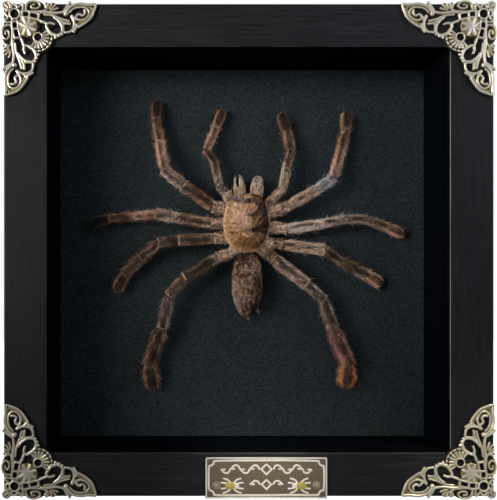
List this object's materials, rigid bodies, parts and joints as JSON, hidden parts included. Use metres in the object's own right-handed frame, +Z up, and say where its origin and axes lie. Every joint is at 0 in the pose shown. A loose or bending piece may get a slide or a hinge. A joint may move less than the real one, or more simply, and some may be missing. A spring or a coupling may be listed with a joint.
{
  "type": "framed tarantula specimen",
  "caption": "Dried tarantula pinned on black textured board in a glazed black box frame, with brass filigree corners and a small brass plate on the bottom rail.",
  "frame": {"origin": "middle of the top rail's back face, where the frame bears on the wall", "axes": "+Z up, -Y out of the wall towards the viewer, +X to the viewer's right"},
  "size_m": [0.2012, 0.0367, 0.2022],
  "materials": {
    "painted_wood": "black satin paint over fine straight grain",
    "clear_glass": "polished",
    "spacer_liner": "smooth dark satin",
    "textured_paper": "black paper with a fine speckled tooth, on foam board",
    "hardboard": "brown pressed fibre, smooth",
    "zinc_steel": "bright zinc plate",
    "antique_brass": "stamped relief, pale rubbed lines over dark recesses",
    "plate_brass": "dull bronzed ground with a pale raised border",
    "spider_skin": "dried cuticle under short brown hair",
    "pin_steel": "blued steel"
  },
  "bodies": {
    "root": {"backing_board": "hardboard", "corner_bottom_left": "antique_brass", "corner_bottom_right": "antique_brass", "corner_top_left": "antique_brass", "corner_top_right": "antique_brass", "framer_point_1": "zinc_steel", "framer_point_2": "zinc_steel", "framer_point_3": "zinc_steel", "framer_point_4": "zinc_steel", "framer_point_5": "zinc_steel", "framer_point_6": "zinc_steel", "framer_point_7": "zinc_steel", "framer_point_8": "zinc_steel", "glass_pane": "clear_glass", "hanger_rivet_left": "zinc_steel", "hanger_rivet_right": "zinc_steel", "insect_pin": "pin_steel", "mount_board": "textured_paper", "name_plate": "plate_brass", "plate_nail_left": "antique_brass", "plate_nail_right": "antique_brass", "rail_bottom": "painted_wood", "rail_left": "painted_wood", "rail_right": "painted_wood", "rail_top": "painted_wood", "sawtooth_hanger": "zinc_steel", "spacer_bottom": "spacer_liner", "spacer_left": "spacer_liner", "spacer_right": "spacer_liner", "spacer_top": "spacer_liner", "tarantula": "spider_skin"}
  },
  "joints": []
}
